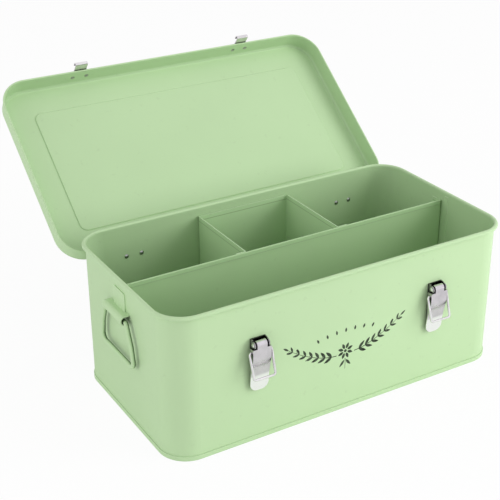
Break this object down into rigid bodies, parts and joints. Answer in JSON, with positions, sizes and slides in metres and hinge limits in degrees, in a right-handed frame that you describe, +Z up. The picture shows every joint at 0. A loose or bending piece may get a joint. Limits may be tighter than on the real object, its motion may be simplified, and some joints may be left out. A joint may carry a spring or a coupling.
{
  "type": "seed organizer box",
  "caption": "Pressed-steel storage box with rounded corners, a hinged tray lid, front draw latches, side bail handles and a lift-out divider insert.",
  "frame": {"origin": "centre of the flat base, on the surface that it stands on", "axes": "+X to the right along the long front, +Y to the hinged rear, +Z up; shown with the lid open against its stops"},
  "size_m": [0.368, 0.3669, 0.2484],
  "materials": {
    "painted_steel": "smooth semi-gloss pale green paint over sheet steel, a little wear on edges",
    "plated_steel": "polished nickel plate with fine scratches",
    "rivet_steel": "satin domed rivet and pin heads"
  },
  "bodies": {
    "box": {"body_shell": "painted_steel", "bottom_pan": "painted_steel", "latch_base_left": "plated_steel", "latch_base_right": "plated_steel", "latch_pin_left": "plated_steel", "latch_pin_right": "plated_steel", "latch_base_rivets": "rivet_steel", "handle_bracket_left": "painted_steel", "handle_bracket_right": "painted_steel", "hinge_body_leaf_left": "painted_steel", "hinge_body_leaf_right": "painted_steel", "hinge_pin_left": "rivet_steel", "hinge_pin_right": "rivet_steel", "hinge_body_rivets": "rivet_steel"},
    "lid": {"lid_shell": "painted_steel", "hinge_lid_leaf_left": "painted_steel", "hinge_lid_leaf_right": "painted_steel", "hinge_lid_rivets": "rivet_steel", "lid_catch_left": "plated_steel", "lid_catch_right": "plated_steel", "lid_catch_rivets": "rivet_steel"},
    "lever_left": {"latch_lever_left": "plated_steel"},
    "lever_right": {"latch_lever_right": "plated_steel"},
    "loop_left": {"latch_loop_left": "plated_steel"},
    "loop_right": {"latch_loop_right": "plated_steel"},
    "handle_left": {"side_handle_left": "painted_steel"},
    "handle_right": {"side_handle_right": "painted_steel"},
    "insert": {"long_divider": "painted_steel", "centre_bin": "painted_steel"}
  },
  "joints": [
    {"name": "lid_hinge", "type": "hinge", "parent": "box", "child": "lid", "pos_m": [0, 0.0974, 0.1197], "axis": [1, 0, 0], "range_deg": [0, 141.7]},
    {"name": "insert_lift", "type": "slide", "parent": "box", "child": "insert", "axis": [0, 0, -1], "range_m": [-0.135, 0]},
    {"name": "lever_left_hinge", "type": "hinge", "parent": "box", "child": "lever_left", "pos_m": [-0.0935, -0.096, 0.0982], "axis": [-1, 0, 0], "range_deg": [0, 130]},
    {"name": "loop_left_hinge", "type": "hinge", "parent": "lever_left", "child": "loop_left", "pos_m": [-0.0935, -0.096, 0.0918], "axis": [1, 0, 0], "range_deg": [-149.4, 0]},
    {"name": "handle_left_hinge", "type": "hinge", "parent": "box", "child": "handle_left", "pos_m": [-0.1796, 0, 0.1059], "axis": [0, 1, 0], "range_deg": [0, 110]},
    {"name": "lever_right_hinge", "type": "hinge", "parent": "box", "child": "lever_right", "pos_m": [0.0935, -0.096, 0.0982], "axis": [-1, 0, 0], "range_deg": [0, 130]},
    {"name": "loop_right_hinge", "type": "hinge", "parent": "lever_right", "child": "loop_right", "pos_m": [0.0935, -0.096, 0.0918], "axis": [1, 0, 0], "range_deg": [-149.4, 0]},
    {"name": "handle_right_hinge", "type": "hinge", "parent": "box", "child": "handle_right", "pos_m": [0.1796, 0, 0.1059], "axis": [0, -1, 0], "range_deg": [0, 110]}
  ]
}
